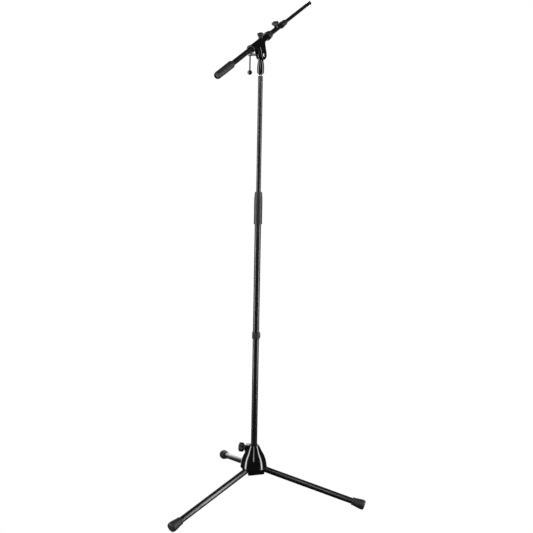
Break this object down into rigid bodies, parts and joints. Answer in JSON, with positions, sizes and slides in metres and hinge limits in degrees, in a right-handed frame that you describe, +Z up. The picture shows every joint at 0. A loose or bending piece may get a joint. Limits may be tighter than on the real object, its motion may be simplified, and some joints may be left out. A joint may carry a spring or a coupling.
{
  "type": "boom microphone stand",
  "caption": "Floor stand with folding tripod legs, a two-stage clutch-locked column and a tilting telescopic boom for a microphone.",
  "frame": {"origin": "on the floor, under the middle of the box around the whole stand", "axes": "+Z up along the column, +X to the right and +Y away when the stand is seen with the boom rising to the far right"},
  "size_m": [0.6708, 0.6854, 1.7319],
  "materials": {
    "black_tube": "gloss black powder coat on steel tube",
    "black_casting": "gloss black enamel on a zinc die casting",
    "black_plastic": "fine matt texture on moulded black plastic",
    "black_rubber": "matt black moulded rubber",
    "bright_steel": "bright nickel or zinc plate on turned steel",
    "white_nylon": "natural nylon"
  },
  "bodies": {
    "base": {"base_hub": "black_casting", "hub_bush": "white_nylon", "leg_pin_right": "bright_steel", "leg_pin_left": "bright_steel", "leg_pin_back": "bright_steel"},
    "leg_right": {"leg_knuckle_right": "black_casting", "leg_tube_right": "black_tube", "leg_foot_right": "black_rubber"},
    "leg_left": {"leg_knuckle_left": "black_casting", "leg_tube_left": "black_tube", "leg_foot_left": "black_rubber"},
    "leg_back": {"leg_knuckle_back": "black_casting", "leg_tube_back": "black_tube", "leg_foot_back": "black_rubber"},
    "base_clamp": {"base_clamp_knob": "black_plastic", "base_clamp_screw": "bright_steel", "base_clamp_pad": "white_nylon"},
    "lower_column": {"lower_tube": "black_tube", "lower_tube_plug": "black_plastic", "stop_ring": "black_rubber", "clutch_body": "black_plastic", "clutch_collet": "white_nylon"},
    "clutch": {"clutch_grip": "black_plastic"},
    "upper_column": {"upper_tube": "black_tube", "upper_tube_bush": "white_nylon", "head_stud": "black_tube", "head_washer": "bright_steel"},
    "swivel": {"swivel_base": "black_casting"},
    "boom_clamp": {"boom_clamp_body": "black_casting", "friction_disc_left": "black_rubber", "friction_disc_right": "black_rubber", "tilt_nut": "bright_steel", "boom_rear_bush": "black_plastic", "boom_front_collar": "black_plastic"},
    "tilt_screw": {"tilt_screw": "bright_steel", "tilt_washer": "bright_steel"},
    "tilt_bar": {"tilt_bar": "black_tube", "tilt_bar_stop": "black_tube", "tilt_bar_ball": "black_plastic"},
    "boom_lock": {"boom_lock_knob": "black_plastic", "boom_lock_screw": "bright_steel", "boom_lock_pad": "white_nylon"},
    "boom": {"boom_tube": "black_tube", "boom_grip": "black_plastic", "boom_end_plug": "black_plastic", "extension_collar": "black_plastic", "extension_saddle": "black_casting"},
    "extension_lock": {"extension_lock_knob": "black_plastic", "extension_lock_screw": "bright_steel", "extension_lock_pad": "white_nylon"},
    "extension": {"extension_tube": "black_tube", "extension_bush": "white_nylon", "tip_stud": "bright_steel", "tip_flange": "bright_steel"}
  },
  "joints": [
    {"name": "leg_right_fold", "type": "hinge", "parent": "base", "child": "leg_right", "pos_m": [-0.02774, -0.04716, 0.11058], "axis": [0.2181, 0.9759, 0], "range_deg": [0, 74]},
    {"name": "leg_left_fold", "type": "hinge", "parent": "base", "child": "leg_left", "pos_m": [-0.07567, -0.06218, 0.11058], "axis": [0.7361, -0.6769, 0], "range_deg": [0, 74]},
    {"name": "leg_back_fold", "type": "hinge", "parent": "base", "child": "leg_back", "pos_m": [-0.06471, -0.01316, 0.11058], "axis": [-0.9542, -0.299, 0], "range_deg": [0, 74]},
    {"name": "base_clamp_turn", "type": "hinge", "parent": "base", "child": "base_clamp", "pos_m": [-0.08532, -0.03429, 0.1846], "axis": [-0.9759, 0.2181, 0], "continuous": true},
    {"name": "column_slide", "type": "slide", "parent": "base", "child": "lower_column", "axis": [0, 0, 1], "range_m": [-0.385, 0]},
    {"name": "clutch_turn", "type": "hinge", "parent": "lower_column", "child": "clutch", "pos_m": [-0.05604, -0.04083, 1.0326], "axis": [0, 0, 1], "range_deg": [0, 180]},
    {"name": "upper_slide", "type": "slide", "parent": "lower_column", "child": "upper_column", "axis": [0, 0, 1], "range_m": [-0.38, 0.17]},
    {"name": "boom_pan", "type": "hinge", "parent": "upper_column", "child": "swivel", "pos_m": [-0.05604, -0.04083, 1.4926], "axis": [0, 0, 1], "continuous": true},
    {"name": "boom_tilt", "type": "hinge", "parent": "swivel", "child": "boom_clamp", "pos_m": [-0.05604, -0.04083, 1.5399], "axis": [0.8686, -0.4955, 0], "range_deg": [-90, 65]},
    {"name": "tilt_screw_turn", "type": "hinge", "parent": "boom_clamp", "child": "tilt_screw", "pos_m": [-0.07341, -0.03092, 1.5399], "axis": [-0.8686, 0.4955, 0], "continuous": true},
    {"name": "tilt_bar_slide", "type": "slide", "parent": "tilt_screw", "child": "tilt_bar", "axis": [0, 0, 1], "range_m": [0, 0.044]},
    {"name": "boom_lock_turn", "type": "hinge", "parent": "boom_clamp", "child": "boom_lock", "pos_m": [-0.05506, -0.03911, 1.58459], "axis": [-0.1904, -0.3338, 0.9232], "continuous": true},
    {"name": "boom_slide", "type": "slide", "parent": "boom_clamp", "child": "boom", "axis": [0.4574, 0.8019, 0.3843], "range_m": [-0.03, 0.12]},
    {"name": "extension_lock_turn", "type": "hinge", "parent": "boom", "child": "extension_lock", "pos_m": [-0.00566, 0.0475, 1.6261], "axis": [-0.1904, -0.3338, 0.9232], "continuous": true},
    {"name": "extension_slide", "type": "slide", "parent": "boom", "child": "extension", "axis": [0.4574, 0.8019, 0.3843], "range_m": [-0.165, 0.045]}
  ]
}
